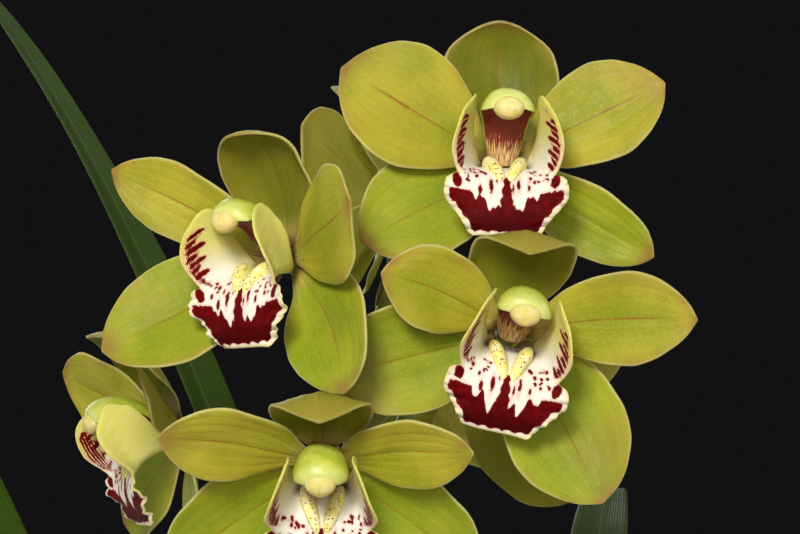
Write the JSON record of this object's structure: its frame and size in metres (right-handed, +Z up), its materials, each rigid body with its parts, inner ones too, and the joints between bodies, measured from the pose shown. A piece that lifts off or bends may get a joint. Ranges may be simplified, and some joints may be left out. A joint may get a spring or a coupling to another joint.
{
  "type": "potted orchid",
  "caption": "Potted green orchid with a flower spike of broad-petalled blooms, red-marked cream lips, arching strap leaves, pseudobulbs and bark in a plain clay pot.",
  "frame": {"origin": "centre of the pot's foot, on the surface the pot stands on", "axes": "+Z up the plant, -Y towards the side the open flowers face, +X to the right seen from that side"},
  "size_m": [0.659, 0.6463, 0.7462],
  "materials": {
    "terracotta": "matt, unglazed, weathered with pale salts",
    "bark": "rough, damp conifer bark chips",
    "bulb_green": "satin, ribbed, with dry papery sheaths",
    "leaf_green": "satin, finely ribbed along its length",
    "stalk_green": "satin, green flushed with red-brown",
    "petal_green": "waxy satin, yellow-green with a bronze edge and midrib",
    "sepal_green": "waxy satin, apple green with a bronze edge",
    "lip_cream": "waxy cream, dark red bars and blotches, yellow keels",
    "column_green": "waxy yellow-green with a pale cap and red-brown streaks beneath"
  },
  "bodies": {
    "root": {"pot": "terracotta", "bark_medium": "bark", "pseudobulb_1": "bulb_green", "pseudobulb_2": "bulb_green", "pseudobulb_3": "bulb_green", "pseudobulb_4": "bulb_green", "leaf_01": "leaf_green", "leaf_02": "leaf_green", "leaf_03": "leaf_green", "leaf_04": "leaf_green", "leaf_05": "leaf_green", "leaf_06": "leaf_green", "leaf_07": "leaf_green", "leaf_08": "leaf_green", "leaf_09": "leaf_green", "leaf_10": "leaf_green", "leaf_11": "leaf_green", "leaf_12": "leaf_green", "leaf_13": "leaf_green", "leaf_14": "leaf_green", "leaf_15": "leaf_green", "flower_spike": "stalk_green", "flower_1_dorsal_sepal": "sepal_green", "flower_1_left_petal": "petal_green", "flower_1_right_petal": "petal_green", "flower_1_left_sepal": "sepal_green", "flower_1_right_sepal": "sepal_green", "flower_1_lip": "lip_cream", "flower_1_column": "column_green", "flower_2_dorsal_sepal": "sepal_green", "flower_2_left_petal": "petal_green", "flower_2_right_petal": "petal_green", "flower_2_left_sepal": "sepal_green", "flower_2_right_sepal": "sepal_green", "flower_2_lip": "lip_cream", "flower_2_column": "column_green", "flower_3_dorsal_sepal": "sepal_green", "flower_3_left_petal": "petal_green", "flower_3_right_petal": "petal_green", "flower_3_left_sepal": "sepal_green", "flower_3_right_sepal": "sepal_green", "flower_3_lip": "lip_cream", "flower_3_column": "column_green", "flower_4_dorsal_sepal": "sepal_green", "flower_4_left_petal": "petal_green", "flower_4_right_petal": "petal_green", "flower_4_left_sepal": "sepal_green", "flower_4_right_sepal": "sepal_green", "flower_4_lip": "lip_cream", "flower_4_column": "column_green", "flower_5_perianth": "petal_green", "flower_5_lip": "lip_cream", "flower_6_perianth": "petal_green", "flower_6_lip": "lip_cream", "flower_7_perianth": "petal_green", "flower_7_lip": "lip_cream", "flower_8_perianth": "petal_green", "flower_8_lip": "lip_cream"}
  },
  "joints": []
}
